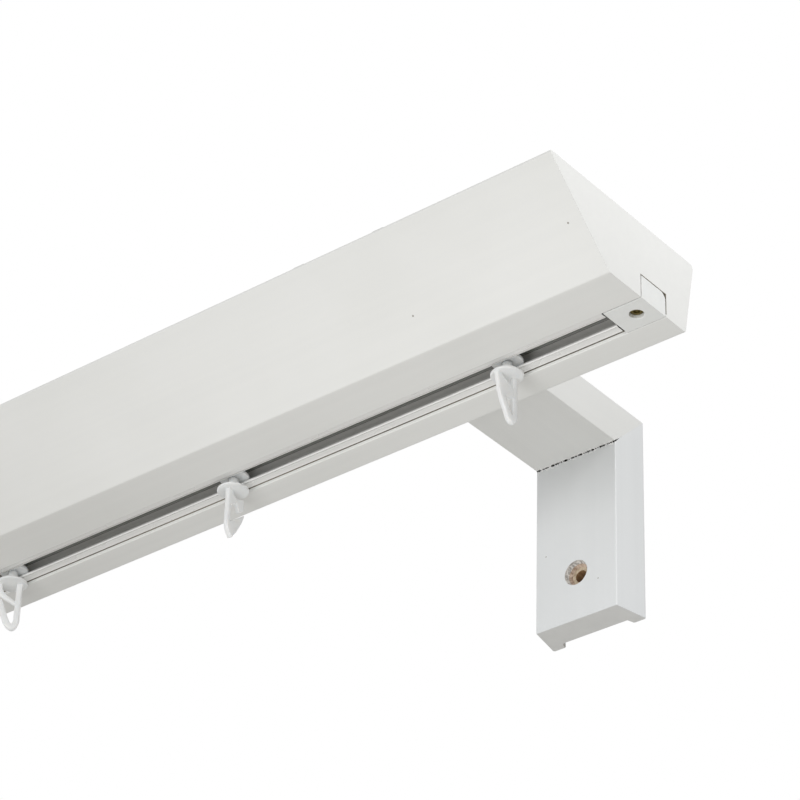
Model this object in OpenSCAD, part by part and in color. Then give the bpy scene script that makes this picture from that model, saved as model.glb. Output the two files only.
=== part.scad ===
// Wooden valance rail with an aluminium curtain track let into its underside,
// held off the wall by two mitred wooden brackets, with swivel hooks on runners.
// X runs along the rail, -Y faces the room, the wall is the plane Y = 0, and +Z is up.
// The origin lies on the wall at mid length, at the height of the wall screws.

/* [Rail] */
// Length of the rail
rail_len = 1200; // [900:50:2400]
// Height of the rail
rail_h = 33.3; // [28:0.1:50]
// Width of the rail's underside
rail_bottom_w = 46.9; // [40:0.1:60]
// How far the front face leans out from its bottom edge to its top edge
front_lean = 36.1; // [15:0.1:50]
// How far the back face leans out from its bottom edge to its top edge
back_lean = 6; // [0:0.5:12]
// Clear distance from the wall to the back edge of the rail's underside
wall_gap = 100.4; // [60:0.2:160]
// Radius of the rail's long edges
rail_edge_r = 1.3; // [0.4:0.1:3]
// Radius of the sharp nose along the rail's top front edge
nose_r = 0.8; // [0.3:0.1:1.5]

/* [Track] */
// Outer width of the aluminium track
track_w = 14.8; // [14:0.1:20]
// Outer height of the aluminium track
track_h = 8.6; // [7:0.1:12]
// Wall of the aluminium track
track_wall = 1; // [0.8:0.1:1.4]
// Width of the slot between the track's two lips
slot_w = 6.6; // [5.5:0.1:9]
// How deep the track lies inside the rail's underside
track_recess = 1.4; // [0:0.1:3]
// Distance from the front edge of the underside to the middle of the track
track_y = 26.8; // [20:0.1:30]
// Gap between each side of the track and the rail's groove
track_gap = 0.3; // [0.05:0.05:0.5]
// Width and depth of the fine groove beside each edge of the slot
lip_groove = 0.4; // [0.2:0.05:0.5]
// Number of screws that hold the track in the rail
track_screw_count = 4; // [2:1:8]
// Distance from the rail's end to the first track screw
track_screw_inset = 150; // [60:5:250]

/* [End stops] */
// Length of each end stop
stop_len = 17; // [12:0.5:30]
// Gap around each end stop
stop_gap = 0.12; // [0.05:0.01:0.4]
// Distance from the rail's end to the stop's screw hole
stop_hole_x = 7.5; // [5:0.5:9]
// Gap around the screw's head in the stop's hole
stop_hole_gap = 0.2; // [0.1:0.05:0.6]
// Depth of the stop's screw hole down to the seat of the head
stop_seat = 2.5; // [2:0.5:6]

/* [Runners and hooks] */
// Distance from the rail's right end to the first runner
first_runner = 66; // [40:0.5:100]
// Distance from the rail's right end to the second runner
second_runner = 200.5; // [140:0.5:220]
// Distance from the rail's right end to the third runner
third_runner = 321; // [250:0.5:340]
// Gap between the runner's flange and each side of the track
flange_gap = 0.3; // [0.1:0.05:0.6]
// Thickness of the runner's flange
flange_t = 1.8; // [1.2:0.1:2.4]
// Gap between the flange and the lips that it slides on
slide_gap = 0.1; // [0.05:0.01:0.3]
// Diameter of the swivel pin
pin_d = 3.7; // [2.5:0.1:4.5]
// Radial running clearance of the swivel pin
pin_gap = 0.06; // [0.02:0.01:0.1]
// Distance from the rail's underside down to the hook's disc
disc_drop = 2.35; // [1:0.05:5]
// Diameter of the hook's disc
disc_d = 12.6; // [10:0.1:13]
// Thickness of the hook's disc
disc_t = 1; // [0.8:0.1:2]
// Length of the hook's loop below the disc
loop_len = 21.6; // [18:0.1:26]
// Outer radius of the loop's bow
bow_r = 3.6; // [3.2:0.1:4.2]
// Width of the loop's legs
leg_w = 2.4; // [1.8:0.1:2.6]
// Thickness of the loop
loop_t = 2; // [1.4:0.1:3]

/* [Brackets] */
// Distance from the rail's end to the middle of the bracket
bracket_inset = 112; // [60:1:200]
// Thickness of the bracket's board
board_t = 15.8; // [14:0.1:25]
// Width of the board's inner face, towards the room and down
board_front_w = 39; // [34:0.5:50]
// Width of the board's outer face, towards the wall and up
board_back_w = 45.2; // [44:0.2:60]
// Width of the groove in the board's outer face, at its mouth
board_slot_w = 33; // [20:0.5:34]
// How much narrower the groove is at its floor
board_slot_taper = 2; // [0:0.5:4]
// Depth of the groove in the board's outer face
board_slot_d = 3.2; // [2:0.1:5]
// Radius of the board's long edges
board_edge_r = 1; // [0.3:0.1:2]
// How far the arm's end stays behind the rail's top front edge
arm_setback = 17.5; // [5:0.5:24]
// Distance from the rail's underside down to the leg's end
leg_drop = 42; // [35:0.5:80]
// Height of the wall screw's hole above the leg's end
wall_hole_z = 21.2; // [14:0.2:30]
// Diameter of the wall screw's hole
wall_hole_d = 5; // [4.5:0.1:6.5]
// Diameter of the recess for the wall screw's head
wall_head_d = 10.6; // [9:0.1:14]
// Depth of the recess for the wall screw's head
wall_head_depth = 2.5; // [2:0.5:6]
// Diameter of the dowels in the mitre
dowel_d = 5; // [4:0.5:5]
// Length of the dowels in the mitre
dowel_len = 14; // [10:1:15]
// Distance between the two dowels of one bracket
dowel_pitch = 18; // [12:1:24]
// Distance from the mitre's inner corner to the dowels
dowel_in = 5; // [4.5:0.1:5.5]

/* [Screws] */
// Shank diameter of the screws through the arm into the rail
rail_screw_d = 4; // [3:0.5:5]
// Head diameter of the screws through the arm into the rail
rail_screw_head = 8; // [6:0.5:9]
// Length of the screws through the arm into the rail
rail_screw_len = 30; // [20:1:32]
// Shank diameter of the track and end stop screws
small_screw_d = 2.9; // [2:0.1:3.2]
// Head diameter of the track and end stop screws
small_screw_head = 5.2; // [4:0.1:5.4]
// Length of the track screws
track_screw_len = 16; // [10:1:18]
// Length of the end stop screws
stop_screw_len = 16; // [12:1:20]
// Clearance between a screw or dowel and its hole
hole_gap = 0.05; // [0.02:0.01:0.2]

/* [Hidden] */
$fn = 48;
// Room past a face when a cut has to go right through it
past = 1;
// Number of steps in each rounded edge
edge_steps = 4;

// Heights, with the wall screws at zero
under_z = leg_drop - wall_hole_z;
rail_top_z = under_z + rail_h;
leg_end_z = -wall_hole_z;
board_top_z = rail_top_z + board_t;
groove_depth = track_recess + track_h;
lip_top_z = under_z + track_recess + track_wall;
web_z = under_z + groove_depth - track_wall;
disc_z = under_z - disc_drop;

// Places across the rail
bottom_front_y = -(wall_gap + rail_bottom_w);
bottom_back_y = -wall_gap;
top_front_y = bottom_front_y - front_lean;
top_back_y = bottom_back_y + back_lean;
slot_y = bottom_front_y + track_y;
groove_w = track_w + 2 * track_gap;
arm_end_y = top_front_y + arm_setback;

// Places along the rail
end_x = rail_len / 2;
track_len = rail_len - 2 * (stop_len + stop_gap);
stop_hole_at = end_x - stop_hole_x;
bracket_x = end_x - bracket_inset;
track_screw_span = rail_len - 2 * track_screw_inset;
track_screw_x = [for (i = [0 : track_screw_count - 1])
    -track_screw_span / 2 + i * track_screw_span / (track_screw_count - 1)];

// The arm's two screws stand in front of and behind the track's groove
screw_wood = 6;
rail_screw_y = [
    slot_y - groove_w / 2 - rail_screw_d - screw_wood,
    slot_y + groove_w / 2 + rail_screw_d
];
arm_slot_z = board_top_z - board_slot_d;

// The runners share the track evenly past the third one
runner_count = 10;
spread_gap = (rail_len - third_runner - first_runner) / (runner_count - 3);
runner_x = [
    end_x - first_runner,
    end_x - second_runner,
    for (i = [0 : runner_count - 3]) end_x - third_runner - i * spread_gap
];
// Turn of each hook about its pin; the loops hang at the turns that they were left in
hook_turn = [78, -87, 39, 160, -20, 100, 55, -120, 15, 130];

// The swivel pin's head sits in a counterbore in the runner's hub
pin_head_d = pin_d + 1.5;
pin_head_t = 1;
pin_slit = 0.7;
hub_wall = 1.3;
hub_bore_d = pin_d + 2 * pin_gap;
hub_seat_d = pin_head_d + 0.6;
hub_d = hub_seat_d + 2 * hub_wall;
flange_d = track_w - 2 * track_wall - 2 * flange_gap;
flange_z = lip_top_z + slide_gap;
seat_z = flange_z + flange_t;
hub_top_z = seat_z + pin_head_t + 0.5;
head_z = seat_z + slide_gap;

// The loop in its own plane: u across it with the stem at +u, and v down from the disc
loop_half = disc_d / 2 - 0.15;
stem_out = loop_half - 1.3;
bow_u = stem_out - bow_r;
bow_v = -(loop_len - bow_r);
horn_v = -5.5;
horn_gap = 0.4;
gate_gap = 0.4;
gate_root_v = -2.3;
gate_top_v = -8;
gate_end_v = -10.4;
gate_end_u = stem_out - leg_w - gate_gap;

function two_digits(i) = i < 10 ? str("0", i) : str(i);
function unit(v) = v / norm(v);
function turned(v, a) = [v.x * cos(a) - v.y * sin(a), v.x * sin(a) + v.y * cos(a)];

// One corner [x, y, r] of a counter-clockwise outline, as the points of its arc
function corner_arc(before, corner, after) =
    let (p = [corner.x, corner.y], r = corner[2])
    r == 0 ? [p] :
    let (a = unit([before.x, before.y] - p),
         b = unit([after.x, after.y] - p),
         half = acos(a * b) / 2,
         centre = p + unit(a + b) * r / sin(half),
         start = p + a * r / tan(half) - centre)
    [for (k = [0 : edge_steps]) centre + turned(start, (180 - 2 * half) * k / edge_steps)];

function rounded(corners) =
    let (n = len(corners))
    [for (i = [0 : n - 1])
        each corner_arc(corners[(i + n - 1) % n], corners[i], corners[(i + 1) % n])];

// Draws a YZ outline along X over a length centred on mid rail
module along_x(length) {
    translate([-length / 2, 0, 0]) rotate([90, 0, 90]) linear_extrude(length) children();
}

// A countersunk screw that points up, with its flat head down at z = 0
module screw(d, head_d, length) {
    cone_h = (head_d - d) / 2;
    tip_h = 1.5 * d;
    slot_deep = cone_h * 0.7;
    difference() {
        union() {
            cylinder(h = cone_h, d1 = head_d, d2 = d);
            cylinder(h = length - tip_h, d = d);
            translate([0, 0, length - tip_h]) cylinder(h = tip_h, d1 = d, d2 = d / 4);
        }
        for (a = [45, 135]) rotate(a)
            translate([-head_d * 0.28, -head_d * 0.07, -past])
                cube([head_d * 0.56, head_d * 0.14, slot_deep + past]);
    }
}

// The room that the screw above needs in the pieces that it passes
module screw_room(d, head_d, length) {
    hole_d = d + 2 * hole_gap;
    mouth_d = head_d + 2 * hole_gap;
    translate([0, 0, -past]) cylinder(h = past, d = mouth_d);
    cylinder(h = (mouth_d - hole_d) / 2, d1 = mouth_d, d2 = hole_d);
    cylinder(h = length + hole_gap, d = hole_d);
}

module at_track_screws() {
    for (x = track_screw_x) translate([x, slot_y, web_z]) children();
}

module at_stop_screw(side) {
    translate([side * stop_hole_at, slot_y, under_z + stop_seat]) children();
}

module at_rail_screws(side) {
    for (y = rail_screw_y) translate([side * bracket_x, y, arm_slot_z]) mirror([0, 0, 1])
        children();
}

module valance_rail() {
    lip_r = rail_edge_r / 4;
    groove_y = slot_y - groove_w / 2;
    color("whitesmoke") difference() {
        along_x(rail_len) polygon(rounded([
            [bottom_front_y, under_z, rail_edge_r],
            [groove_y, under_z, lip_r],
            [groove_y, under_z + groove_depth, 0],
            [groove_y + groove_w, under_z + groove_depth, 0],
            [groove_y + groove_w, under_z, lip_r],
            [bottom_back_y, under_z, rail_edge_r],
            [top_back_y, rail_top_z, rail_edge_r],
            [top_front_y, rail_top_z, nose_r]
        ]));
        at_track_screws() screw_room(small_screw_d, small_screw_head, track_screw_len);
        for (side = [-1, 1]) {
            at_stop_screw(side) screw_room(small_screw_d, small_screw_head, stop_screw_len);
            at_rail_screws(side) screw_room(rail_screw_d, rail_screw_head, rail_screw_len);
        }
    }
}

// C-shaped extrusion with its slot down
module inner_track() {
    low = under_z + track_recess;
    w = track_w / 2;
    s = slot_w / 2;
    t = track_wall;
    lip_r = t / 4;
    color("silver") difference() {
        along_x(track_len) translate([slot_y, low]) difference() {
            polygon(rounded([
                [-w, 0, 0], [-s, 0, lip_r], [-s, t, lip_r], [-w + t, t, 0],
                [-w + t, track_h - t, 0], [w - t, track_h - t, 0], [w - t, t, 0],
                [s, t, lip_r], [s, 0, lip_r], [w, 0, 0], [w, track_h, 0], [-w, track_h, 0]
            ]));
            for (side = [-1, 1]) translate([side * (s + 1.5 * lip_groove), 0])
                square([lip_groove, 2 * lip_groove], center = true);
        }
        at_track_screws() screw_room(small_screw_d, small_screw_head, track_screw_len);
    }
}

module track_screws() {
    color("gainsboro") at_track_screws()
        screw(small_screw_d, small_screw_head, track_screw_len);
}

// Moulded block that fills the groove's end, with its top back corner rounded off
module end_stop(side) {
    w = groove_w / 2 - stop_gap;
    h = groove_depth - stop_gap;
    top_r = h * 0.28;
    hole_d = small_screw_d + 2 * hole_gap;
    head_room_d = small_screw_head + 2 * stop_hole_gap;
    color("white") difference() {
        translate([side * (end_x - stop_len / 2), slot_y, under_z])
            along_x(stop_len) polygon(rounded([
                [-w, 0, 0], [w, 0, 0], [w, h, top_r], [-w, h, 0]
            ]));
        translate([side * stop_hole_at, slot_y, under_z]) {
            translate([0, 0, -past]) cylinder(h = stop_seat + past, d = head_room_d);
            cylinder(h = groove_depth + past, d = hole_d);
        }
        at_stop_screw(side) screw_room(small_screw_d, small_screw_head, stop_screw_len);
    }
}

module end_stop_screws() {
    color("goldenrod") for (side = [-1, 1]) at_stop_screw(side)
        screw(small_screw_d, small_screw_head, stop_screw_len);
}

// Section of the bracket's board: x across it, y from its inner face to its outer face
module board_section() {
    f = board_front_w / 2;
    b = board_back_w / 2;
    m = board_slot_w / 2;
    g = m - board_slot_taper / 2;
    floor_y = board_t - board_slot_d;
    polygon(rounded([
        [-f, 0, board_edge_r], [f, 0, board_edge_r], [b, board_t, board_edge_r],
        [m, board_t, 0], [g, floor_y, 0], [-g, floor_y, 0], [-m, board_t, 0],
        [-b, board_t, board_edge_r]
    ]));
}

// The mitre's own frame: its plane rises from the inner corner to the outer corner
module on_mitre() {
    translate([0, -board_t, rail_top_z]) rotate([45, 0, 0]) children();
}

// Everything above the mitre (side 1) or below it (side -1)
module beyond_mitre(side) {
    big = 4 * (board_t + board_back_w);
    on_mitre() translate([0, 0, side * big / 2]) cube(big, center = true);
}

// The two dowels of a bracket, square to the mitre
module dowels(d, length) {
    on_mitre() for (x = [-dowel_pitch / 2, dowel_pitch / 2])
        translate([x, dowel_in, -length / 2]) cylinder(h = length, d = d);
}

module mitre_dowels() {
    color("burlywood") for (side = [-1, 1]) translate([side * bracket_x, 0, 0])
        dowels(dowel_d, dowel_len);
}

module bracket_arm(side) {
    color("whitesmoke") difference() {
        translate([side * bracket_x, 0, 0]) difference() {
            translate([0, arm_end_y, rail_top_z]) rotate([-90, 0, 0]) mirror([0, 1, 0])
                linear_extrude(-arm_end_y) board_section();
            beyond_mitre(-1);
            dowels(dowel_d + 2 * hole_gap, dowel_len + 2 * hole_gap);
        }
        at_rail_screws(side) screw_room(rail_screw_d, rail_screw_head, rail_screw_len);
    }
}

module bracket_leg(side) {
    color("whitesmoke") translate([side * bracket_x, 0, 0]) difference() {
        translate([0, -board_t, leg_end_z])
            linear_extrude(board_top_z - leg_end_z) board_section();
        beyond_mitre(1);
        dowels(dowel_d + 2 * hole_gap, dowel_len + 2 * hole_gap);
        rotate([90, 0, 0]) cylinder(h = board_t + past, d = wall_hole_d);
        translate([0, -board_t + wall_head_depth, 0]) rotate([90, 0, 0])
            cylinder(h = wall_head_depth + past, d = wall_head_d);
    }
}

module rail_screws() {
    color("gainsboro") for (side = [-1, 1]) at_rail_screws(side)
        screw(rail_screw_d, rail_screw_head, rail_screw_len);
}

// Flanged button that rides on the track's lips, with a hub that holds the swivel pin
module runner(i) {
    edge = 0.3;
    color("ghostwhite") translate([runner_x[i], slot_y, 0]) rotate_extrude() polygon([
        [hub_bore_d / 2, flange_z],
        [flange_d / 2 - edge, flange_z],
        [flange_d / 2, flange_z + edge],
        [flange_d / 2, seat_z - 2 * edge],
        [flange_d / 2 - 2 * edge, seat_z],
        [hub_d / 2, seat_z],
        [hub_d / 2 - edge, hub_top_z],
        [hub_seat_d / 2, hub_top_z],
        [hub_seat_d / 2, seat_z],
        [hub_bore_d / 2, seat_z]
    ]);
}

// Mushroom-headed pin and disc, turned about the pin's axis
module hook_pin() {
    edge = 0.25;
    head_top = head_z + pin_head_t;
    difference() {
        rotate_extrude() polygon([
            [0, disc_z - disc_t],
            [disc_d / 2 - edge, disc_z - disc_t],
            [disc_d / 2, disc_z - disc_t + edge],
            [disc_d / 2, disc_z - edge],
            [disc_d / 2 - edge, disc_z],
            [pin_d / 2 + edge, disc_z],
            [pin_d / 2, disc_z + edge],
            [pin_d / 2, head_z],
            [pin_head_d / 2, head_z],
            [pin_head_d / 2 - edge, head_top],
            [0, head_top]
        ]);
        translate([-pin_head_d, -pin_slit / 2, flange_z + flange_t / 2])
            cube([2 * pin_head_d, pin_slit, hub_top_z]);
    }
}

// A round bow and two legs: the stem stays on the disc, the limb ends free under the horn
module loop_outline() {
    limb_top = [-loop_half, 0];
    limb_foot = [bow_u - bow_r, bow_v];
    horn_share = horn_v / bow_v;
    horn_foot = limb_top + (limb_foot - limb_top) * horn_share;
    tip = limb_top + (limb_foot - limb_top) * (horn_v - horn_gap) / bow_v;
    // stem, sunk a little into the disc
    polygon([[stem_out - leg_w, disc_t / 2], [stem_out - leg_w, bow_v],
             [stem_out, bow_v], [stem_out, disc_t / 2]]);
    // bow
    difference() {
        translate([bow_u, bow_v]) circle(r = bow_r);
        translate([bow_u, bow_v]) circle(r = bow_r - leg_w);
        translate([bow_u - 2 * bow_r, bow_v]) square([4 * bow_r, 2 * bow_r]);
    }
    // limb
    polygon([limb_foot, limb_foot + [leg_w, 0], tip + [leg_w, 0], tip]);
    // horn with the gate that slopes in to the stem
    polygon([[-loop_half, disc_t / 2], horn_foot, horn_foot + [leg_w, 0],
             [gate_end_u, gate_end_v], [gate_end_u, gate_top_v],
             [leg_w - loop_half, gate_root_v], [leg_w - loop_half, disc_t / 2]]);
}

// Snap-in hook: pin, disc and gated loop in one moulding
module hook(i) {
    color("ghostwhite") translate([runner_x[i], slot_y, 0]) rotate(hook_turn[i]) {
        hook_pin();
        translate([0, 0, disc_z - disc_t]) rotate([90, 0, 0])
            translate([0, 0, -loop_t / 2]) linear_extrude(loop_t) loop_outline();
    }
}

valance_rail();
inner_track();
end_stop(1);  // end_stop_right
end_stop(-1);  // end_stop_left
end_stop_screws();
track_screws();
bracket_arm(1);  // bracket_arm_right
bracket_arm(-1);  // bracket_arm_left
bracket_leg(1);  // bracket_leg_right
bracket_leg(-1);  // bracket_leg_left
mitre_dowels();
rail_screws();
for (i = [0 : runner_count - 1]) {
    runner(i);
    hook(i);
}
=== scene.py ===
import math

import bmesh
import bpy
from mathutils import Matrix, Vector, noise


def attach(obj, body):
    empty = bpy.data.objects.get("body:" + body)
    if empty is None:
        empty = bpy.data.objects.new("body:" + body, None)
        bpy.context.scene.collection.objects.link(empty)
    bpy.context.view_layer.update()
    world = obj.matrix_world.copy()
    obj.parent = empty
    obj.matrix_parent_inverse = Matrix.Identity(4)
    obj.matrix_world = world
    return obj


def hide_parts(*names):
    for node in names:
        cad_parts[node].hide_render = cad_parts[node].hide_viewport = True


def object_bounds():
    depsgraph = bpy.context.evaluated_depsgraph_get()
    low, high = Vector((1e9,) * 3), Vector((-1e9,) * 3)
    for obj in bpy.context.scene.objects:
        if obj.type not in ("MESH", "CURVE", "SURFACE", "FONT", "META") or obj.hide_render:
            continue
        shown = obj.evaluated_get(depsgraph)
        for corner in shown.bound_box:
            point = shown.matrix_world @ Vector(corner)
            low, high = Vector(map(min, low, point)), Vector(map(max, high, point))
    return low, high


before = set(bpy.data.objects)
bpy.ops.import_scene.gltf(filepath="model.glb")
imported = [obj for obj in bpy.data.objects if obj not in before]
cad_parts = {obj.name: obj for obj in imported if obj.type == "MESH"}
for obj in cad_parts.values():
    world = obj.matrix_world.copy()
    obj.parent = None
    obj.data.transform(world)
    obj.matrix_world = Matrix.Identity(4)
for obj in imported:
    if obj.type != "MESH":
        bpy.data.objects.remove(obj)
cad_low, cad_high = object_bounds()

MM = 0.001
SIDE_NAME = {1: "right", -1: "left"}

# Sizes repeated from the CAD part, in millimetres
RAIL_LEN, RAIL_H, RAIL_BOTTOM_W = 1200, 33.3, 46.9
FRONT_LEAN, BACK_LEAN, WALL_GAP = 36.1, 6, 100.4
RAIL_EDGE_R, NOSE_R = 1.3, 0.8
TRACK_W, TRACK_H, TRACK_WALL, SLOT_W, LIP_GROOVE = 14.8, 8.6, 1, 6.6, 0.4
TRACK_RECESS, TRACK_Y, TRACK_GAP = 1.4, 26.8, 0.3
TRACK_SCREW_X = [-450, -150, 150, 450]
SMALL_SCREW_D, SMALL_SCREW_HEAD, SCREW_GAP = 2.9, 5.2, 0.05
STOP_LEN, STOP_GAP, STOP_HOLE_X, STOP_SCREW_LEN = 17, 0.12, 7.5, 16
FIRST_RUNNERS = [66, 200.5, 321]
DISC_DROP, DISC_D, DISC_T = 2.35, 12.6, 1.0
PIN_D, PIN_HEAD_D, HOOK_T = 3.7, 5.2, 2.0
HOOK_TURN = [78, -87, 39, 160, -20, 100, 55, -120, 15, 130]
BRACKET_X, BOARD_T, BOARD_FRONT_W, BOARD_BACK_W = 488, 15.8, 39, 45.2
BOARD_SLOT_W, BOARD_SLOT_TAPER, BOARD_SLOT_D = 33, 2, 3.2
ARM_SETBACK = 17.5
WALL_HOLE_D, WALL_HEAD_D = 5, 10.6

# Heights and places that follow from them
UNDER_Z = 20.8
RAIL_TOP_Z = UNDER_Z + RAIL_H
LEG_END_Z = -21.2
GROOVE_DEPTH = TRACK_RECESS + TRACK_H
BOTTOM_FRONT_Y = -(WALL_GAP + RAIL_BOTTOM_W)
SLOT_Y = BOTTOM_FRONT_Y + TRACK_Y
ARM_END_Y = BOTTOM_FRONT_Y - FRONT_LEAN + ARM_SETBACK
HOOK_COUNT = len(HOOK_TURN)
SPREAD_GAP = (RAIL_LEN - FIRST_RUNNERS[2] - FIRST_RUNNERS[0]) / (HOOK_COUNT - 3)
RUNNER_X = [RAIL_LEN / 2 - from_end for from_end in FIRST_RUNNERS[:2]] + [
    RAIL_LEN / 2 - FIRST_RUNNERS[2] - i * SPREAD_GAP for i in range(HOOK_COUNT - 2)
]

# Sizes of the detail that is in this scene alone, in millimetres
BACK_TOP_R, GROOVE_MOUTH_R, RAIL_WAVE = 2.0, 0.35, 0.05
TRACK_END_GAP, SLOT_EDGE_R, WEB_CORNER_R = 1.65, 0.36, 0.6
STOP_FRONT_GAP, STOP_BACK_GAP, STOP_SEAT, STOP_HEAD_D = 0.16, 0.1, 1.2, 5.6
BOARD_SOFT_R, MITRE_CHAMFER, CRACK_REACH, CRACK_MOST = 0.5, 0.25, 4.5, 0.6
CHIP_REACH, CHIP_HEIGHT, CHIP_LEAST, INNER_FACE = 2.4, 0.6, 0.03, 0.3
CHIP_STEPS = (1.7, 1.2, 0.8, 0.5, 0.25)
RECESS_ROUGH, RECESS_UNEVEN = 0.16, 0.14
MERGE_DISTANCE = 1e-5

# How an end is softened: distances from it, each with how far the outline is moved in there
RAIL_ENDS = ((0.0, 0.25), (0.1, 0.08), (0.3, 0.0))
STOP_ENDS = ((0.0, 0.15), (0.05, 0.05), (0.15, 0.0))
BOARD_END = ((0.0, 0.32), (0.1, 0.1), (0.35, 0.0))
HOOK_FACES = ((0.0, 0.3), (0.1, 0.1), (0.3, 0.0))

# Material slots: the track's, then those of a bracket's boards
METAL, INSIDE, EDGE, CUT, WEB = range(5)
PAINT, JOINT, END, TORN = range(4)

# Each form of hook is the centre line of its loop, as (across, down from the disc, width), and
# the outlines of its flat parts: a closed loop with its gate, one sprung open with its gate
# pushed up and its bow apart, and one that hangs free of its gate
HOOK_FORMS = [
    (
        [
            (3.4, -0.6, 2.1), (3.4, 5, 2.1), (3.4, 10, 2.1), (3.4, 14, 2.2), (3.25, 16.6, 2.6),
            (2.35, 18.3, 3.3), (1.1, 17.6, 2.8), (0.1, 15.6, 2.4), (-1.2, 12.8, 2.3),
            (-2.35, 10, 2.3), (-3.45, 7, 2.3), (-3.8, 6.0, 2.2),
        ],
        [
            (-5.9, -0.6), (-3.2, -0.6), (-2.6, 1.0), (-0.6, 2.7), (2.3, 5.0), (2.4, 9.1),
            (0.4, 9.3), (-1.4, 9.3), (-3.6, 8.4), (-4.7, 5.3), (-5.3, 2.6),
        ],
    ),
    (
        [
            (2.45, -0.6, 2.1), (2.45, 4, 2.1), (2.5, 10, 2.0), (2.6, 15.0, 1.9),
        ],
        [
            (-6.1, 1.6), (-5.7, 1.2), (-1.7, 2.8), (0.5, 1.4), (1.3, -0.6), (2.6, -0.6),
            (2.6, 6.8), (1.2, 6.6), (-1.2, 4.7), (-2.4, 5.9), (-3.4, 8.0), (-5.1, 6.8),
            (-6.1, 5.7),
        ],
        [
            (-6.6, 7.8), (1.7, 14.3), (1.8, 13.5), (3.5, 13.5), (3.45, 15.7), (2.9, 17.7),
            (1.9, 19.4), (0.8, 20.7), (0.2, 21.0), (-0.4, 20.5), (-2.9, 16.7), (-5.1, 12.6),
            (-6.6, 8.8),
        ],
    ),
    (
        [
            (3.3, -0.6, 2.4), (3.2, 5, 2.4), (3.2, 10, 2.4), (3.2, 14.5, 2.4), (3.1, 17.6, 2.4),
            (1.8, 20.1, 2.4), (0.1, 19.1, 2.5), (-1.4, 16.5, 2.6), (-2.6, 13.2, 2.6),
            (-3.7, 10, 2.6), (-4.7, 7.4, 2.5),
        ],
        [
            (-6.1, -0.6), (-3.9, -0.6), (-3.7, 2.4), (-2.5, 4.45), (2.1, 8.2), (2.1, 9.9),
            (-3.86, 6.1), (-6.1, 5.3),
        ],
    ),
]
HOOK_FORM = [0, 1, 2, 0, 2, 0, 2, 1, 0, 2]

# The floor, in metres, and the lamps: name, place, target, size in metres, power in watts
FLOOR_Z, FLOOR_HALF = -5.8, 20.0
AMBIENT = 0.5
LAMPS = [
    ("key", (0.5, -2.3, -0.5), (0.4, -0.16, 0.03), 1.2, 16.0),
    ("side", (0.9, -0.1, 0.25), (0.6, -0.14, 0.04), 0.25, 0.92),
    ("under", (0.6, -0.17, -0.34), (0.55, -0.13, 0.02), 0.3, 0.32),
    ("fill", (0.5, -0.42, -0.3), (0.49, -0.02, 0.04), 0.2, 0.27),
]


def new_material(name):
    """A node material with the handles that its nodes need."""
    material = bpy.data.materials.new(name)
    material.use_nodes = True
    tree = material.node_tree
    return material, tree.nodes, tree.links, tree.nodes["Principled BSDF"]


def add_noise(nodes, links, scale, stretch=(1, 1, 1), detail=3.0):
    """Noise on the piece's own coordinates, in metres, squeezed along each axis."""
    place = nodes.new("ShaderNodeTexCoord")
    mapping = nodes.new("ShaderNodeMapping")
    mapping.inputs["Scale"].default_value = stretch
    texture = nodes.new("ShaderNodeTexNoise")
    texture.inputs["Scale"].default_value = scale
    texture.inputs["Detail"].default_value = detail
    links.new(place.outputs["Object"], mapping.inputs["Vector"])
    links.new(mapping.outputs[0], texture.inputs["Vector"])
    return texture.outputs["Fac"]


def add_ramp(nodes, links, factor, low, high, start=0.35, end=0.65):
    """Blends two colours over a span of the factor."""
    ramp = nodes.new("ShaderNodeValToRGB")
    ramp.color_ramp.elements[0].position = start
    ramp.color_ramp.elements[0].color = (*low, 1)
    ramp.color_ramp.elements[1].position = end
    ramp.color_ramp.elements[1].color = (*high, 1)
    links.new(factor, ramp.inputs["Fac"])
    return ramp.outputs["Color"]


def add_gloss(nodes, links, shader, factor, roughness, spread):
    """Roughness that varies by the spread to each side."""
    low, high = (roughness - spread,) * 3, (roughness + spread,) * 3
    links.new(add_ramp(nodes, links, factor, low, high), shader.inputs["Roughness"])


def add_bumps(nodes, links, shader, layers):
    """Chains bumps, each a (height, depth in metres, strength), into the shader's normal."""
    normal = None
    for height, depth, strength in layers:
        bump = nodes.new("ShaderNodeBump")
        bump.inputs["Distance"].default_value = depth
        bump.inputs["Strength"].default_value = strength
        links.new(height, bump.inputs["Height"])
        if normal:
            links.new(normal, bump.inputs["Normal"])
        normal = bump.outputs["Normal"]
    links.new(normal, shader.inputs["Normal"])


def mix_colours(nodes, links, factor, first, second, blend="MIX"):
    """Mixes two colours; each input is a socket or a plain value."""
    mix = nodes.new("ShaderNodeMix")
    mix.data_type = "RGBA"
    mix.blend_type = blend
    # A mix node's sockets for colours are its inputs 0, 6 and 7 and its output 2
    for number, value in ((0, factor), (6, first), (7, second)):
        if isinstance(value, bpy.types.NodeSocket):
            links.new(value, mix.inputs[number])
        else:
            mix.inputs[number].default_value = value
    return mix.outputs[2]


def add_speck(nodes, links, colour, place, radius):
    """A small round speck in the paint, darker than what is round it."""
    where = nodes.new("ShaderNodeTexCoord")
    apart = nodes.new("ShaderNodeVectorMath")
    apart.operation = "DISTANCE"
    apart.inputs[1].default_value = place
    near = nodes.new("ShaderNodeMath")
    near.operation = "LESS_THAN"
    near.inputs[1].default_value = radius
    links.new(where.outputs["Object"], apart.inputs[0])
    links.new(apart.outputs["Value"], near.inputs[0])
    return mix_colours(nodes, links, near.outputs[0], colour, (0.36, 0.34, 0.31, 1))


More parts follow.
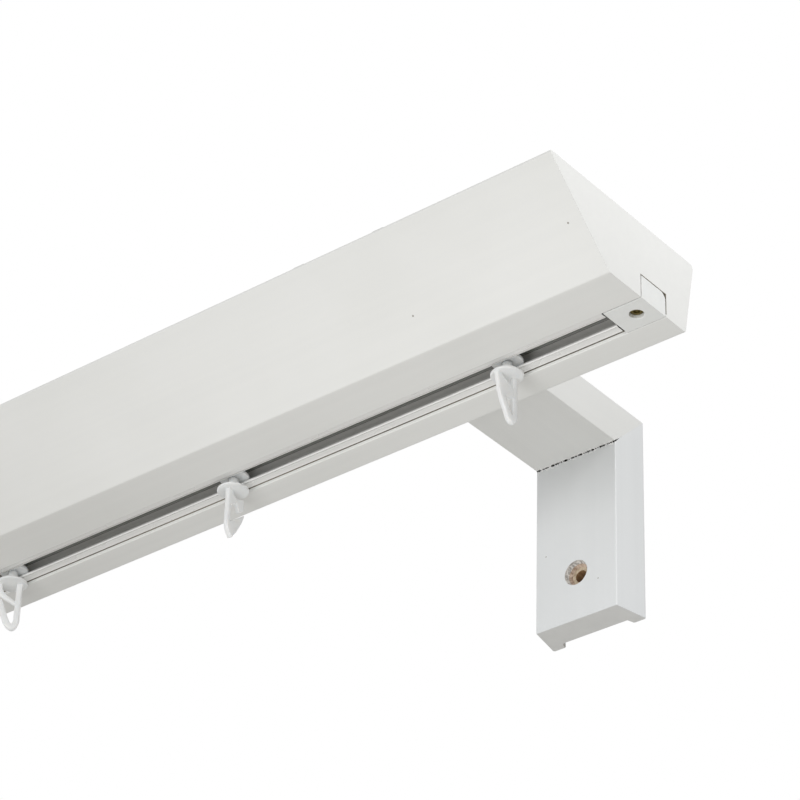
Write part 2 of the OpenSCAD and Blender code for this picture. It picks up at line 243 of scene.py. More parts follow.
def painted_wood(name, grain, low, high, specks=()):
    """Satin white paint on planed wood: faint grain, roller stipple and a few dark specks."""
    material, nodes, links, shader = new_material(name)
    streak = add_noise(nodes, links, 1.0, grain, 4.0)
    cloud = add_noise(nodes, links, 14.0)
    stipple = add_noise(nodes, links, 900.0)
    tone = add_ramp(nodes, links, streak, low, high, 0.3, 0.7)
    patch = add_ramp(nodes, links, cloud, (0.972, 0.972, 0.968), (1, 1, 1), 0.35, 0.6)
    colour = mix_colours(nodes, links, 1.0, tone, patch, "MULTIPLY")
    for place, radius in specks:
        colour = add_speck(nodes, links, colour, place, radius)
    links.new(colour, shader.inputs["Base Color"])
    add_gloss(nodes, links, shader, cloud, 0.47, 0.05)
    add_bumps(nodes, links, shader, [(streak, 0.00004, 0.35), (stipple, 0.00003, 0.5)])
    return material


def bare_wood(name, low, high, stretch):
    """A rough face without paint or gloss, with open grain and torn fibres."""
    material, nodes, links, shader = new_material(name)
    grain = add_noise(nodes, links, 1.0, stretch, 6.0)
    fibre = add_noise(nodes, links, 1600.0)
    colour = add_ramp(nodes, links, grain, low, high, 0.35, 0.62)
    links.new(colour, shader.inputs["Base Color"])
    shader.inputs["Roughness"].default_value = 0.85
    add_bumps(nodes, links, shader, [(grain, 0.0002, 0.8), (fibre, 0.0002, 0.8)])
    return material


def coated_metal(name, low, high, roughness, metallic, stretch, depth):
    """Drawn or rolled metal whose fine lines run one way."""
    material, nodes, links, shader = new_material(name)
    lines = add_noise(nodes, links, 1.0, stretch, 5.0)
    cloud = add_noise(nodes, links, 30.0)
    links.new(add_ramp(nodes, links, lines, low, high, 0.3, 0.7), shader.inputs["Base Color"])
    add_gloss(nodes, links, shader, cloud, roughness, 0.05)
    shader.inputs["Metallic"].default_value = metallic
    add_bumps(nodes, links, shader, [(lines, depth, 0.6)])
    return material


def moulded_plastic(name, low, high, roughness, scatter, reach):
    """Moulded plastic: an even body with a faint flow pattern, fine texture and soft depth."""
    material, nodes, links, shader = new_material(name)
    flow = add_noise(nodes, links, 220.0, (1, 1, 0.4))
    grit = add_noise(nodes, links, 2500.0)
    links.new(add_ramp(nodes, links, flow, low, high), shader.inputs["Base Color"])
    add_gloss(nodes, links, shader, grit, roughness, 0.06)
    shader.inputs["Subsurface Weight"].default_value = scatter
    shader.inputs["Subsurface Scale"].default_value = reach
    shader.inputs["Subsurface Radius"].default_value = (1.0, 0.95, 0.9)
    add_bumps(nodes, links, shader, [(flow, 0.00004, 0.4), (grit, 0.00002, 0.5)])
    return material


def set_materials(obj, *materials):
    """Fills the object's slots in order; any slots past the last material get that one too."""
    slots = obj.data.materials
    for k in range(max(len(slots), len(materials))):
        material = materials[min(k, len(materials) - 1)]
        if k < len(slots):
            slots[k] = material
        else:
            slots.append(material)


def arc_corner(before, corner, after, steps):
    """The points of the arc that rounds one corner (a, b, radius) of an outline."""
    p = Vector(corner[:2])
    if not corner[2]:
        return [p]
    a = (Vector(before[:2]) - p).normalized()
    b = (Vector(after[:2]) - p).normalized()
    half = math.acos(max(-1, min(1, a.dot(b)))) / 2
    centre = p + (a + b).normalized() * corner[2] / math.sin(half)
    start = p + a * corner[2] / math.tan(half) - centre
    turn = math.pi - 2 * half
    if a.cross(b) > 0:
        turn = -turn
    return [centre + Matrix.Rotation(turn * k / steps, 2) @ start for k in range(steps + 1)]


def rounded(corners, steps=5):
    """The outline through the corners (a, b, radius), each rounded by an arc."""
    n = len(corners)
    points = []
    for i in range(n):
        points += arc_corner(corners[i - 1], corners[i], corners[(i + 1) % n], steps)
    return points


def inset(points, amount):
    """The outline moved in by an amount; the outline runs counter-clockwise."""
    n = len(points)
    moved = []
    for i, p in enumerate(points):
        a = (p - points[i - 1]).normalized()
        b = (points[(i + 1) % n] - p).normalized()
        na, nb = Vector((-a.y, a.x)), Vector((-b.y, b.x))
        side = na + nb
        if side.length < 1e-6:
            side = na
        side.normalize()
        moved.append(p + side * amount / max(0.5, side.dot(na)))
    return moved


def split_edges(points, longest):
    """Adds points so that no edge is longer than longest(a, b)."""
    n = len(points)
    out = []
    for i, p in enumerate(points):
        q = points[(i + 1) % n]
        count = max(1, math.ceil((q - p).length / longest(p, q)))
        out += [p.lerp(q, k / count) for k in range(count)]
    return out


def soft_span(low, high, ends):
    """Stations (place, inset) from low to high whose two ends are softened alike."""
    return [(low + far, amount) for far, amount in ends] + [
        (high - far, amount) for far, amount in reversed(ends)
    ]


def add_object(name, data):
    """A new object in the scene, with this mesh, lamp or camera as its data."""
    obj = bpy.data.objects.new(name, data)
    bpy.context.scene.collection.objects.link(obj)
    return obj


def mark_sharp(bm, sharp_deg):
    """Leaves an edge smooth only where its two faces meet at less than this angle."""
    limit = math.radians(sharp_deg)
    for edge in bm.edges:
        edge.smooth = len(edge.link_faces) == 2 and edge.calc_face_angle(0) < limit


def weight_normals(obj):
    """Keeps the large flat faces flat beside their softened edges."""
    normals = obj.modifiers.new("normals", "WEIGHTED_NORMAL")
    normals.keep_sharp = True


def finish_mesh(name, bm, sharp_deg=35.0, weighted=True):
    """Turns a bmesh in millimetres into an object in metres, smooth between its sharp edges."""
    bmesh.ops.remove_doubles(bm, verts=bm.verts, dist=MERGE_DISTANCE)
    bmesh.ops.recalc_face_normals(bm, faces=bm.faces)
    bmesh.ops.scale(bm, vec=(MM, MM, MM), verts=bm.verts)
    for face in bm.faces:
        face.smooth = True
    mark_sharp(bm, sharp_deg)
    mesh = bpy.data.meshes.new(name)
    bm.to_mesh(mesh)
    bm.free()
    obj = add_object(name, mesh)
    if weighted:
        weight_normals(obj)
    return obj


def loft(bm, rings, material=lambda ring, point: 0, end_materials=(0, 0)):
    """Skins rings of equal point counts, closes both ends and returns the rows of vertices."""
    rows = [[bm.verts.new(p) for p in ring] for ring in rings]
    n = len(rows[0])
    for r in range(len(rows) - 1):
        for i in range(n):
            j = (i + 1) % n
            face = bm.faces.new((rows[r][i], rows[r][j], rows[r + 1][j], rows[r + 1][i]))
            face.material_index = material(r, i)
    bm.faces.new(list(reversed(rows[0]))).material_index = end_materials[0]
    bm.faces.new(rows[-1]).material_index = end_materials[1]
    return rows


def lathe(bm, profile, steps, place, material=lambda ring, point: 0):
    """Turns (radius, height) points about an axis; place(x, y, h) puts them in the frame."""
    rings = []
    for radius, height in profile:
        ring = []
        for k in range(steps):
            a = 2 * math.pi * k / steps
            ring.append(place(radius * math.cos(a), radius * math.sin(a), height))
        rings.append(ring)
    return loft(bm, rings, material)


def apply_modifiers(obj):
    """Gives the object the mesh that its modifiers make, and removes them."""
    bpy.context.view_layer.update()
    graph = bpy.context.evaluated_depsgraph_get()
    mesh = bpy.data.meshes.new_from_object(obj.evaluated_get(graph))
    obj.modifiers.clear()
    old = obj.data
    obj.data = mesh
    bpy.data.meshes.remove(old)


def cut(obj, cutter, sharp_deg):
    """Takes the cutter out of the object, gives the new faces its materials, marks the edges."""
    modifier = obj.modifiers.new("cut", "BOOLEAN")
    modifier.operation = "DIFFERENCE"
    modifier.solver = "EXACT"
    modifier.material_mode = "TRANSFER"
    modifier.object = cutter
    apply_modifiers(obj)
    bpy.data.objects.remove(cutter)
    bm = bmesh.new()
    bm.from_mesh(obj.data)
    mark_sharp(bm, sharp_deg)
    bm.to_mesh(obj.data)
    bm.free()
    weight_normals(obj)


def make_rail():
    """The leaning valance rail with softened edges and a groove whose inside is bare wood, darkened
    as painted shade.
    """
    groove_w = TRACK_W + 2 * TRACK_GAP
    groove_y = SLOT_Y - groove_w / 2
    paint_z = UNDER_Z + (TRACK_RECESS - 0.1)
    outline = rounded([
        (BOTTOM_FRONT_Y, UNDER_Z, RAIL_EDGE_R),
        (groove_y, UNDER_Z, GROOVE_MOUTH_R),
        (groove_y, paint_z, 0),
        (groove_y, UNDER_Z + GROOVE_DEPTH, 0),
        (groove_y + groove_w, UNDER_Z + GROOVE_DEPTH, 0),
        (groove_y + groove_w, paint_z, 0),
        (groove_y + groove_w, UNDER_Z, GROOVE_MOUTH_R),
        (-WALL_GAP, UNDER_Z, RAIL_EDGE_R),
        (-WALL_GAP + BACK_LEAN, RAIL_TOP_Z, BACK_TOP_R),
        (BOTTOM_FRONT_Y - FRONT_LEAN, RAIL_TOP_Z, NOSE_R),
    ])
    inside = [
        abs(p.x - SLOT_Y) < groove_w and paint_z - 0.01 < p.y < RAIL_TOP_Z - 1 for p in outline
    ]
    end, margin, count = RAIL_LEN / 2, 0.5, 96
    stations = soft_span(-end, end, RAIL_ENDS)
    stations[len(RAIL_ENDS):len(RAIL_ENDS)] = [
        (-end + margin + (RAIL_LEN - 2 * margin) * k / count, 0.0) for k in range(count + 1)
    ]
    rings = []
    for x, amount in stations:
        ring = []
        for p in inset(outline, amount):
            wave = RAIL_WAVE * noise.noise(Vector((x * 0.012, p.x * 0.05, p.y * 0.05)))
            y = max(cad_low[1] / MM, p.x + wave)
            ring.append((x, y, min(RAIL_TOP_Z, max(UNDER_Z, p.y + wave))))
        rings.append(ring)

    def bare(ring, point):
        """1 on the groove's bare sides and ceiling, dark bare wood with painted shade; 0 on paint.
        """
        return int(inside[point] and inside[(point + 1) % len(inside)])

    bm = bmesh.new()
    loft(bm, rings, bare)
    return finish_mesh("valance", bm)


def make_track():
    """C-shaped extrusion with its slot down and a fine groove beside each edge of the slot."""
    w, s, t, h, g = TRACK_W / 2, SLOT_W / 2, TRACK_WALL, TRACK_H, LIP_GROOVE
    right = [
        (w - t, t, 0.1), (s, t, 0.15), (s, 0, SLOT_EDGE_R), (s + g, 0, 0.03), (s + g, g, 0),
        (s + 2 * g, g, 0), (s + 2 * g, 0, 0.08), (w, 0, 0.35), (w, h, 0.2),
    ]
    left = [(-a, b, min(r, 0.2)) for a, b, r in reversed(right)]
    web = [(-w + t, h - t, WEB_CORNER_R), (w - t, h - t, WEB_CORNER_R)]
    outline = rounded(left + web + right)

    def surface(ring, point):
        """Web and inside with lip grooves, in painted shade; back lip's edge, painted highlight;
        else metal.
        """
        p, q = outline[point], outline[(point + 1) % len(outline)]
        if h - t - WEB_CORNER_R - 0.1 < min(p.y, q.y) and max(p.y, q.y) < h - t + 0.1:
            return WEB
        in_groove = s + g / 2 < abs(p.x + q.x) / 2 < s + 2.5 * g and p.y + q.y > g / 2
        if in_groove or min(p.y, q.y) > t - 0.05:
            return INSIDE
        # The back lip's rounded slot edge takes a near-white painted highlight
        near = SLOT_EDGE_R + 0.01
        on_edge = 0 < min(p.x, q.x) and max(p.x, q.x) < s + near and max(p.y, q.y) < near
        return EDGE if on_edge else METAL

    end = RAIL_LEN / 2 - STOP_LEN - TRACK_END_GAP
    low = UNDER_Z + TRACK_RECESS
    rings = [[(x, SLOT_Y + p.x, low + p.y) for p in outline] for x in (-end, end)]
    bm = bmesh.new()
    # Both cut ends are painted near black, as the shade in the gap before each end stop
    loft(bm, rings, surface, end_materials=(CUT, CUT))
    track = finish_mesh("track", bm, weighted=False)
    head, shank = SMALL_SCREW_HEAD / 2 + SCREW_GAP, SMALL_SCREW_D / 2 + SCREW_GAP
    profile = [(0, -1), (head, -1), (head, 0), (shank, head - shank), (shank, 3), (0, 3)]
    holes = bmesh.new()
    for at in TRACK_SCREW_X:
        lathe(
            holes, profile, steps=32,
            place=lambda x, y, z, at=at: (at + x, SLOT_Y + y, low + h - t + z),
        )
    cutter = finish_mesh("cutter", holes, weighted=False)
    return track, cutter


def board_outline():
    """A bracket board's section, with fine points along the inner face, where it chips."""
    f, b, m = BOARD_FRONT_W / 2, BOARD_BACK_W / 2, BOARD_SLOT_W / 2
    g = m - BOARD_SLOT_TAPER / 2
    floor_t = BOARD_T - BOARD_SLOT_D

    def longest(p, q):
        if max(p.y, q.y) < INNER_FACE:
            return 0.35
        return 0.6 if min(p.y, q.y) < 4 else 6.0

    return split_edges(rounded([
        (-f, 0, BOARD_SOFT_R), (f, 0, BOARD_SOFT_R), (b, BOARD_T, 0.9), (m, BOARD_T, 0.7),
        (g, floor_t, 0.5), (-g, floor_t, 0.5), (-m, BOARD_T, 0.7), (-b, BOARD_T, 0.9),
    ]), longest)


def crack(u, t, seed):
    """How far the joint stands open at a point of the mitre, in millimetres."""
    near = max(0.0, 1 - t / CRACK_REACH) ** 1.8
    rough = noise.noise(Vector((u * 0.5, t * 0.7, seed)))
    beads = noise.noise(Vector((u * 1.5, t * 1.2, seed + 9)))
    fine = noise.noise(Vector((u * 3.4, t * 3.0, seed + 17)))
    return min(CRACK_MOST, near * max(0.0, 0.3 + 0.3 * rough + 0.9 * beads + 0.6 * fine))


def crumb(u, t, back, seed):
    """How far the torn paint beside the joint stands up from the inner face."""
    if t > 0.4 or back >= CHIP_REACH:
        return 0.0
    chips = 1 + 1.8 * math.exp(-(u + BOARD_FRONT_W / 2) / 2.5)
    rough = noise.noise(Vector((u * 1.2, back * 1.1, seed + 31)))
    return CHIP_HEIGHT * chips * max(0.0, rough - 0.05) * (1 - back / CHIP_REACH) ** 1.5


def make_board(name, far_end, place, seed):
    """One half of a bracket, lofted from its far end to its mitre's open and chipped edge."""
    outline = board_outline()
    rings = []
    for far, amount in BOARD_END:
        rings.append([place(p.x, p.y, far_end + far) for p in inset(outline, amount)])
    plain = far_end + BOARD_END[-1][0]
    for share in (0.25, 0.5, 0.75, 1.0):
        rings.append([
            place(p.x, p.y, plain * (1 - share) + (p.y - CHIP_REACH) * share) for p in outline
        ])
    for back in CHIP_STEPS:
        ring = []
        for p in outline:
            gap = crack(p.x, p.y, seed) * (1 - back / CHIP_REACH)
            along = min(p.y - gap - back, BOARD_T - 2 * MITRE_CHAMFER)
            ring.append(place(p.x, p.y - crumb(p.x, p.y, back, seed), along))
        rings.append(ring)
    ring = []
    for p in outline:
        t = min(p.y, BOARD_T - MITRE_CHAMFER)
        ring.append(place(p.x, t - crumb(p.x, t, 0, seed), t - crack(p.x, t, seed)))
    mouth = len(rings)
    rings.append(ring)
    rings.append([place(p.x, p.y, p.y - 0.02) for p in inset(outline, 1.3)])

    def surface(ring, point):
        """The open joint, painted near black as shade, the torn paint in front of it, or paint."""
        p = outline[point]
        if ring == mouth:
            return JOINT
        if ring <= mouth - len(CHIP_STEPS) or p.y >= INNER_FACE:
            return PAINT
        return TORN if crumb(p.x, 0, CHIP_STEPS[ring - mouth], seed) > CHIP_LEAST else PAINT

    bm = bmesh.new()
    # The far end takes the darker end paint, which is partly painted shade
    loft(bm, rings, surface, end_materials=(END, PAINT))
    return finish_mesh(name, bm)


def make_arm(side):
    """Lies on the rail's top; its length is measured back from the mitre's inner corner."""
    def place(u, t, along):
        return (side * BRACKET_X + side * u, -BOARD_T + along, RAIL_TOP_Z + t)

    return make_board("arm_" + SIDE_NAME[side], ARM_END_Y + BOARD_T, place, 3.0 + side)


def make_leg(side):
    """Goes down the wall from the same corner."""
    def place(u, t, along):
        return (side * BRACKET_X + side * u, -BOARD_T + t, RAIL_TOP_Z + along)

    return make_board("leg_" + SIDE_NAME[side], LEG_END_Z - RAIL_TOP_Z, place, 3.0 + side)


def drill_leg(leg, side, recess):
    """Cuts the wall screw's rough recess; its materials go from the rim to the hole, which is
    painted dark as shade.
    """
    r, hole = WALL_HEAD_D / 2, WALL_HOLE_D / 2
    profile = [
        (0.0, -1.0), (r + 0.15, -1.0), (r + 0.15, 0.0), (r, 0.2), (r - 0.08, 0.6),
        (r - 0.2, 1.1), (r - 0.35, 1.6), (r - 0.5, 2.1), (r - 0.75, 2.6), (r - 1.3, 3.0),
        ((r + hole) / 2 - 0.1, 3.25), (hole + 0.45, 3.4), (hole + 0.1, 3.6), (hole, 4.3),
        (hole, 8.0), (hole, BOARD_T + 1), (0.0, BOARD_T + 1),
    ]
    band = [0] * 4 + [1] * 3 + [2] * 3 + [3] * 2 + [4] * 4
    rough_rows = slice(3, 13)
    bm = bmesh.new()
    rows = lathe(
        bm, profile, steps=72,
        place=lambda x, y, depth: (side * BRACKET_X + x, -BOARD_T + depth, y),
        material=lambda ring, point: band[ring],
    )
    for row in rows[rough_rows]:
        for v in row:
            rough = noise.noise(v.co * 1.3) + 0.8 * noise.noise(v.co * 3.3)
            out = Vector((v.co.x - side * BRACKET_X, 0, v.co.z)).normalized()
            v.co += out * RECESS_ROUGH * rough
            v.co.y += RECESS_UNEVEN * noise.noise(v.co * 2.5)
    cutter = finish_mesh("cutter", bm, weighted=False)
    set_materials(cutter, *recess)
    cut(leg, cutter, 35.0)


def make_stop(side):
    """Moulded end block with soft edges, and the cutter of its screw hole from below."""
    w = (TRACK_W + 2 * TRACK_GAP) / 2 - STOP_GAP
    h = GROOVE_DEPTH - STOP_GAP
    front, back = -w + STOP_FRONT_GAP, w - STOP_BACK_GAP
    outline = rounded([(front, 0, 0.2), (back, 0, 0.2), (back, h, h * 0.3), (front, h, 0.3)], 8)
    rings = [
        [(side * x, SLOT_Y + p.x, UNDER_Z + p.y) for p in inset(outline, amount)]
        for x, amount in soft_span(RAIL_LEN / 2 - STOP_LEN, RAIL_LEN / 2, STOP_ENDS)
    ]
    bm = bmesh.new()
    loft(bm, rings)
    stop = finish_mesh("stop_" + SIDE_NAME[side], bm, 14.0, weighted=False)
    r, shank = STOP_HEAD_D / 2, 1.5
    profile = [
        (0.0, -1.0), (r + 0.2, -1.0), (r + 0.2, 0.0), (r, 0.2), (r - 0.05, 1.0), (r - 0.1, 1.9),
        (r - 0.15, 2.0), (shank, 3.3), (shank, GROOVE_DEPTH + 1), (0.0, GROOVE_DEPTH + 1),
    ]
    at = side * (RAIL_LEN / 2 - STOP_HOLE_X)
    hole = bmesh.new()
    lathe(
        hole, profile, steps=40, place=lambda x, y, z: (at + x, SLOT_Y + y, UNDER_Z + z),
    )
    cutter = finish_mesh("cutter", hole, weighted=False)
    return stop, cutter


def make_stop_screw(side):
    """Countersunk screw with a domed head and a socket, pointing up into the wood."""
    r, core = SMALL_SCREW_HEAD / 2, SMALL_SCREW_D / 2
    tip, pitch, thread = STOP_SCREW_LEN - 3.5, 0.95, 0.42
    profile = [
        (0.0, 1.3), (0.7, 1.15), (1.05, 0.75), (1.2, 0.05), (1.3, 0.0), (1.9, 0.06),
        (r - 0.2, 0.22), (r - 0.04, 0.36), (r, 0.5), (core, 1.7),
    ]
    z = 2.0
    while z < tip:
        profile += [(core, z), (core, z + 0.25), (core - thread, z + 0.6)]
        z += pitch
    profile += [(core * 0.6, tip + 1.6), (0.0, STOP_SCREW_LEN)]
    at = side * (RAIL_LEN / 2 - STOP_HOLE_X)
    bm = bmesh.new()
    lathe(
        bm, profile, steps=36,
        place=lambda x, y, h: (at + x, SLOT_Y + y, UNDER_Z + STOP_SEAT + h),
    )
    return finish_mesh("stop_screw_" + SIDE_NAME[side], bm, 30.0)


def smooth_path(points, per_span=8):
    """A Catmull-Rom curve through the points, each (a, b, width)."""
    points = [Vector(p) for p in points]
    ends = [2 * points[0] - points[1]] + points + [2 * points[-1] - points[-2]]
    out = []
    for i in range(1, len(ends) - 2):
        p0, p1, p2, p3 = ends[i - 1:i + 3]
        for k in range(per_span):
            t = k / per_span
            out.append(0.5 * (2 * p1 + (p2 - p0) * t + (2 * p0 - 5 * p1 + 4 * p2 - p3) * t * t
                              + (3 * p1 - p0 - 3 * p2 + p3) * t ** 3))
    out.append(points[-1])
    return out


def sweep(bm, path, thickness, place, edge=0.35):
    """A bar with rounded edges along a path of (a, b, width) points in one plane."""
    rings = []
    last = len(path) - 1
    for i, p in enumerate(path):
        q0, q1 = path[max(0, i - 1)], path[min(last, i + 1)]
        along = Vector((q1.x - q0.x, q1.y - q0.y)).normalized()
        across = Vector((-along.y, along.x))
        half_w, half_t = p.z / 2, thickness / 2
        section = rounded([
            (-half_w, -half_t, edge), (half_w, -half_t, edge), (half_w, half_t, edge),
            (-half_w, half_t, edge),
        ], 4)
        rings.append([
            place(p.x + across.x * s.x, p.y + across.y * s.x, s.y) for s in section
        ])
    loft(bm, rings)


def slab(bm, flat, thickness, place):
    """A flat part with softened faces, from its outline."""
    points = [Vector(p) for p in flat]
    loft(bm, [
        [place(p.x, p.y, t) for p in inset(points, amount)]
        for t, amount in soft_span(-thickness / 2, thickness / 2, HOOK_FACES)
    ])


def hook_mesh(name, loop, *flats):
    """Pin, disc, loop and flat parts melted into one moulding, with its axis at the origin."""
    low, head = UNDER_Z - DISC_DROP - DISC_T, UNDER_Z + 5.4
    top, disc_r, pin_r, head_r = low + DISC_T, DISC_D / 2, PIN_D / 2, PIN_HEAD_D / 2
    joined = bmesh.new()

    def place(u, w, t):
        return (u, t, low - w)

    def part(build, *args):
        bm = bmesh.new()
        build(bm, *args)
        bmesh.ops.recalc_face_normals(bm, faces=bm.faces)
        mesh = bpy.data.meshes.new("hook_part")
        bm.to_mesh(mesh)
        bm.free()
        joined.from_mesh(mesh)
        bpy.data.meshes.remove(mesh)

    pin_steps = 64
    part(lathe, [
        (0.0, low), (disc_r - 0.3, low), (disc_r, low + 0.25), (disc_r, top - 0.25),
        (disc_r - 0.3, top), (pin_r + 0.4, top), (pin_r, top + 0.4), (pin_r, head - 1.0),
        (head_r, head - 1.0), (head_r - 0.25, head), (0.0, head),
    ], pin_steps, lambda x, y, z: (x, y, z))
    part(sweep, smooth_path(loop), HOOK_T, place)
    for flat in flats:
        part(slab, flat, HOOK_T, place)
    mesh = bpy.data.meshes.new(name)
    joined.to_mesh(mesh)
    joined.free()
    obj = add_object(name, mesh)
    melt = obj.modifiers.new("melt", "REMESH")
    melt.mode = "VOXEL"
    melt.voxel_size = 0.13
    soften = obj.modifiers.new("soften", "SMOOTH")
    soften.factor = 0.5
    soften.iterations = 2
    thin = obj.modifiers.new("thin", "DECIMATE")
    thin.ratio = 0.35
    apply_modifiers(obj)
    return obj


def make_hook(i):
    """Hook i + 1 in its own form, turned in its runner."""
    obj = hook_mesh(f"loop_{i + 1:02d}", *HOOK_FORMS[HOOK_FORM[i]])
    turn = Matrix.Rotation(math.radians(HOOK_TURN[i]), 4, "Z")
    obj.data.transform(Matrix.Translation((RUNNER_X[i], SLOT_Y, 0)) @ turn)
    obj.data.transform(Matrix.Scale(MM, 4))
    for face in obj.data.polygons:
        face.use_smooth = True
    return obj


def make_floor():
    """A plain floor, well below the part, which hangs high on a wall."""
    corners = ((-1, -1), (1, -1), (1, 1), (-1, 1))
    mesh = bpy.data.meshes.new("floor")
    mesh.from_pydata(
        [(a * FLOOR_HALF, b * FLOOR_HALF, FLOOR_Z) for a, b in corners], [], [(0, 1, 2, 3)],
    )
    return add_object("floor", mesh)


def world_light(ambient):
    """White for the camera, reflections and seeing through; a plain level of light for the rest."""
    world = bpy.data.worlds.new("room")
    bpy.context.scene.world = world
    world.use_nodes = True
    nodes, links = world.node_tree.nodes, world.node_tree.links
    nodes.clear()
    out = nodes.new("ShaderNodeOutputWorld")
    mix = nodes.new("ShaderNodeMixShader")
    path = nodes.new("ShaderNodeLightPath")
    for strength, socket in ((ambient, mix.inputs[1]), (1.0, mix.inputs[2])):
        light = nodes.new("ShaderNodeBackground")
        light.inputs["Color"].default_value = (1, 1, 1, 1)
        light.inputs["Strength"].default_value = strength
        links.new(light.outputs[0], socket)
    seen = path.outputs["Is Camera Ray"]
    for ray in ("Is Glossy Ray", "Is Transmission Ray"):
        either = nodes.new("ShaderNodeMath")
        either.operation = "MAXIMUM"
        links.new(seen, either.inputs[0])
        links.new(path.outputs[ray], either.inputs[1])
        seen = either.outputs[0]
    links.new(seen, mix.inputs["Fac"])
    links.new(mix.outputs[0], out.inputs["Surface"])


def area_lamp(name, place, target, size, power):
    """A round soft lamp that the camera doesn't see."""
    lamp = bpy.data.lights.new(name, "AREA")
    lamp.shape = "DISK"
    lamp.size = size
    lamp.energy = power
    obj = add_object(name, lamp)
    obj.location = place
    aim = Vector(target) - Vector(place)
    obj.rotation_mode = "QUATERNION"
    obj.rotation_quaternion = aim.to_track_quat("-Z", "Y")
    obj.visible_camera = False


def make_camera():
    """The photograph's viewpoint: below the track, to the right of its end."""
    right = Vector((0.776933, 0.628973, 0.027707))
    down = Vector((-0.330394, 0.444788, -0.832468))
    forward = Vector((-0.535924, 0.637618, 0.553379))
    place = Vector((1.15371, -0.91859, -0.66525))
    data = bpy.data.cameras.new("camera")
    data.sensor_width = 36
    data.lens = 149.08
    data.clip_start, data.clip_end = 0.01, 100
    camera = add_object("camera", data)
    turn = Matrix((right, -down, -forward)).transposed().to_4x4()
    camera.matrix_world = Matrix.Translation(place) @ turn
    bpy.context.scene.camera = camera


PAINT_LOW, PAINT_HIGH = (0.784, 0.788, 0.774), (0.800, 0.803, 0.788)
# Painted shade: the legs get a darker, cooler copy of the rail's paint, for the shade on them
LEG_SHADED_LOW, LEG_SHADED_HIGH = (0.726, 0.742, 0.752), (0.744, 0.760, 0.770)
wood_rail = painted_wood("painted_wood_rail", (3, 260, 260), PAINT_LOW, PAINT_HIGH, [
    ((0.59365, -0.16336, 0.03561), 0.0004), ((0.51888, -0.15751, 0.03022), 0.0004),
])
wood_arm = painted_wood("painted_wood_arm", (260, 3, 260), PAINT_LOW, PAINT_HIGH)
wood_leg_shaded = painted_wood("painted_wood_leg", (260, 260, 3), LEG_SHADED_LOW, LEG_SHADED_HIGH, [
    ((0.47329, -0.0158, 0.01229), 0.0003), ((0.49869, -0.0158, -0.00627), 0.0003),
    ((0.4716, -0.0018, -0.0212), 0.0013),
])
# A darker copy of the paint on the boards' ends: partly end grain taking paint thinly, mostly
# painted shade on the legs' downward ends
wood_end_shaded = painted_wood(
    "painted_wood_end", (200, 200, 200), (0.655, 0.658, 0.65), (0.69, 0.692, 0.684),
)
# Painted shade: bare wood in the groove, darker than bare wood is, for the shade down in it
raw_groove_painted_shade = bare_wood("bare_groove_painted_shade", (0.15, 0.135, 0.11), (0.27, 0.24, 0.19), (10, 500, 500))
recess_materials = [
    bare_wood("recess_rim", (0.34, 0.32, 0.30), (0.66, 0.65, 0.62), (600, 600, 600)),
    bare_wood("recess_edge", (0.30, 0.29, 0.28), (0.78, 0.76, 0.73), (1300, 500, 1300)),
    bare_wood("recess_wall", (0.30, 0.21, 0.15), (0.66, 0.53, 0.43), (900, 260, 900)),
    bare_wood("recess_seat", (0.40, 0.31, 0.21), (0.66, 0.56, 0.42), (600, 600, 600)),
    # Painted shade: the through hole, dark brown for the shade deep in it
    bare_wood("recess_hole_painted_shade", (0.18, 0.09, 0.035), (0.38, 0.24, 0.12), (900, 120, 900)),
]
# Painted shade: the faces inside the mitre's crack, near black, for the shade in the narrow gap
open_joint_painted_shade = bare_wood("open_joint_painted_shade", (0.02, 0.018, 0.014), (0.08, 0.07, 0.05), (300, 300, 300))
torn_paint = bare_wood("torn_paint", (0.88, 0.88, 0.87), (0.97, 0.97, 0.96), (900, 900, 900))
beech = bare_wood("beech", (0.42, 0.28, 0.16), (0.60, 0.44, 0.28), (300, 300, 40))
track_metal = coated_metal(
    "aluminium", (0.88, 0.88, 0.87), (0.94, 0.94, 0.93),
    roughness=0.27, metallic=0.25, stretch=(12, 900, 900), depth=0.00001,
)
# Painted shade: the channel's inside, lip grooves and screw holes, a little darker than the outer
# metal
track_inside_painted_shade = coated_metal(
    "aluminium_inside_painted_shade", (0.78, 0.78, 0.765), (0.93, 0.925, 0.91),
    roughness=0.4, metallic=0.55, stretch=(4, 900, 900), depth=0.00003,
)
# Painted highlight: near white and not metallic, so the slot edge shows as a bright line
track_edge_painted_highlight = coated_metal(
    "aluminium_edge_painted_highlight", (0.97, 0.97, 0.96), (1.0, 1.0, 0.99),
    roughness=0.2, metallic=0.0, stretch=(300, 900, 900), depth=0.00001,
)
# Painted shade: the track's cut ends, near black, so the gap before each end stop shows dark
track_cut_painted_shade = coated_metal(
    "aluminium_cut_painted_shade", (0.10, 0.10, 0.10), (0.20, 0.20, 0.19),
    roughness=0.5, metallic=0.4, stretch=(900, 900, 60), depth=0.00003,
)
# Painted shade: the channel's ceiling, much darker than the metal, for the shade up inside it
track_web_painted_shade = coated_metal(
    "aluminium_web_painted_shade", (0.30, 0.30, 0.29), (0.44, 0.44, 0.425),
    roughness=0.4, metallic=0.55, stretch=(4, 900, 900), depth=0.00003,
)
# Painted shade: the screw's brass is made very dark, for the shade down in its hole
brass = coated_metal(
    "brass", (0.13, 0.10, 0.03), (0.24, 0.19, 0.07),
    roughness=0.45, metallic=1.0, stretch=(900, 900, 900), depth=0.00002,
)
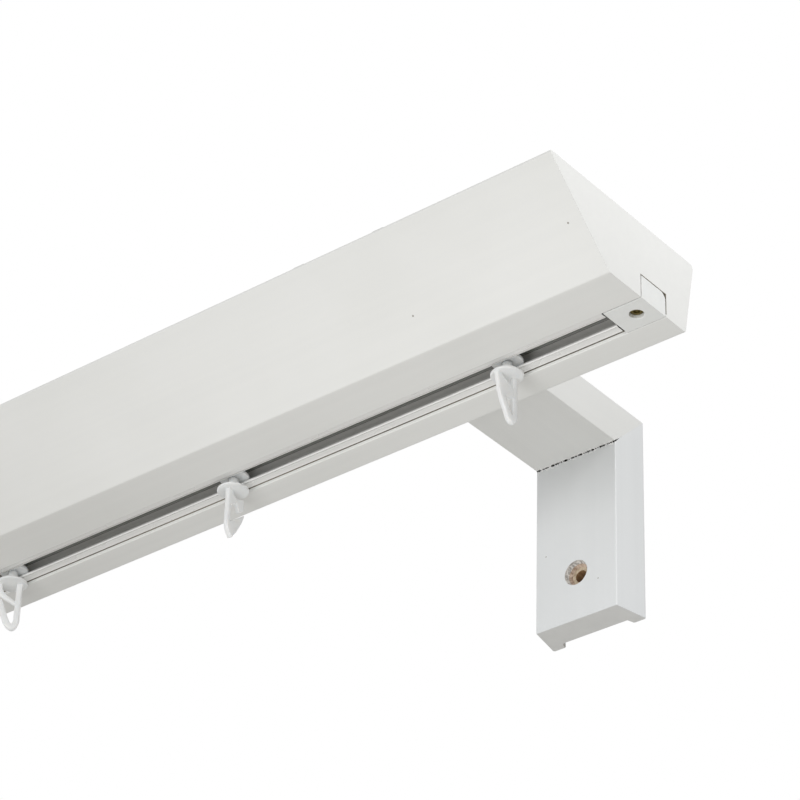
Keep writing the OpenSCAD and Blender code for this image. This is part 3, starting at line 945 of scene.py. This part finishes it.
steel = coated_metal(
    "plated_steel", (0.5, 0.5, 0.5), (0.65, 0.65, 0.64),
    roughness=0.3, metallic=1.0, stretch=(700, 700, 700), depth=0.00002,
)
white_plastic = moulded_plastic(
    "white_plastic", (0.775, 0.785, 0.775), (0.80, 0.81, 0.80),
    roughness=0.4, scatter=0.15, reach=0.001,
)
nylon = moulded_plastic(
    "nylon", (0.885, 0.90, 0.895), (0.915, 0.93, 0.925), roughness=0.4, scatter=1.0, reach=0.005,
)
pale_floor = bare_wood("floor", (0.79, 0.775, 0.735), (0.83, 0.815, 0.775), (3, 3, 3))

node_materials = {"track_screws": steel, "rail_screws": steel, "mitre_dowels": beech}
for name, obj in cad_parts.items():
    set_materials(obj, node_materials.get(name, nylon))

valance = make_rail()
set_materials(valance, wood_rail, raw_groove_painted_shade)
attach(valance, "rail")
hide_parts("valance_rail")

track, holes = make_track()
set_materials(track, track_metal, track_inside_painted_shade, track_edge_painted_highlight, track_cut_painted_shade, track_web_painted_shade)
set_materials(holes, track_inside_painted_shade)
cut(track, holes, 30.0)
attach(track, "rail")
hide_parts("inner_track")

for side, word in SIDE_NAME.items():
    arm = make_arm(side)
    set_materials(arm, wood_arm, open_joint_painted_shade, wood_end_shaded, torn_paint)
    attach(arm, "rail")
    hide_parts("bracket_arm_" + word)
    leg = make_leg(side)
    set_materials(leg, wood_leg_shaded, open_joint_painted_shade, wood_end_shaded, torn_paint)
    drill_leg(leg, side, recess_materials)
    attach(leg, "rail")
    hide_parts("bracket_leg_" + word)
    stop, hole = make_stop(side)
    set_materials(stop, white_plastic)
    set_materials(hole, white_plastic)
    cut(stop, hole, 20.0)
    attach(stop, "rail")
    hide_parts("end_stop_" + word)
    screw = make_stop_screw(side)
    set_materials(screw, brass)
    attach(screw, "rail")
    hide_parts("end_stop_screws")

for i in range(HOOK_COUNT):
    loop = make_hook(i)
    set_materials(loop, nylon)
    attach(loop, f"hook_{i + 1:02d}")
    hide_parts(f"hook_{i + 1:02d}")

floor = make_floor()
set_materials(floor, pale_floor)

make_camera()
world_light(AMBIENT)
for lamp in LAMPS:
    area_lamp(*lamp)
bpy.context.scene.view_settings.view_transform = "Standard"
